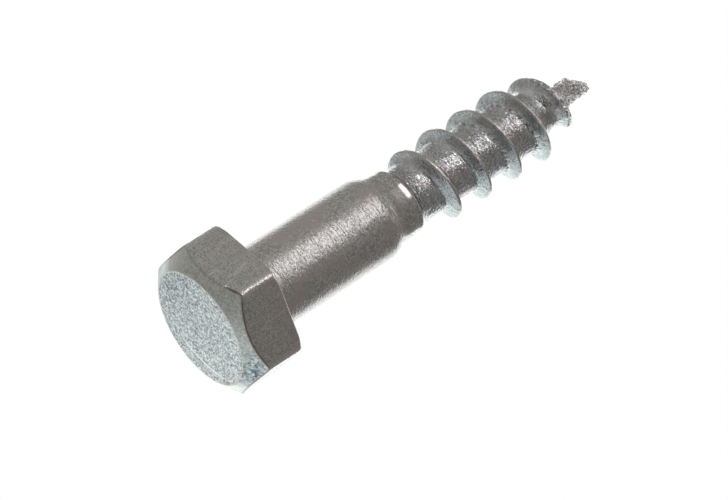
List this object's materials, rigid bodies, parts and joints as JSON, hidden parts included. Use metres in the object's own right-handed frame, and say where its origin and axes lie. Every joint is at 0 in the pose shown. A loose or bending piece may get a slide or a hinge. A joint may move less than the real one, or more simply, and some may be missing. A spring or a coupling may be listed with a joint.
{
  "type": "hexagon-head coach screw",
  "caption": "Hexagon-head coach screw with a plain shank, a coarse wood-screw thread and a rough point, in bright zinc-plated steel.",
  "frame": {"origin": "middle of the head's flat end face", "axes": "+X along the screw from the head towards the point, +Z out of one spanner flat, +Y towards a corner of the hexagon"},
  "size_m": [0.0453, 0.015, 0.013],
  "materials": {
    "zinc_plated_steel": "bright zinc plating over cold-formed steel, fine matt grain on the end face and flats, glossier on the rolled thread"
  },
  "bodies": {
    "root": {"coach_screw": "zinc_plated_steel"}
  },
  "joints": []
}
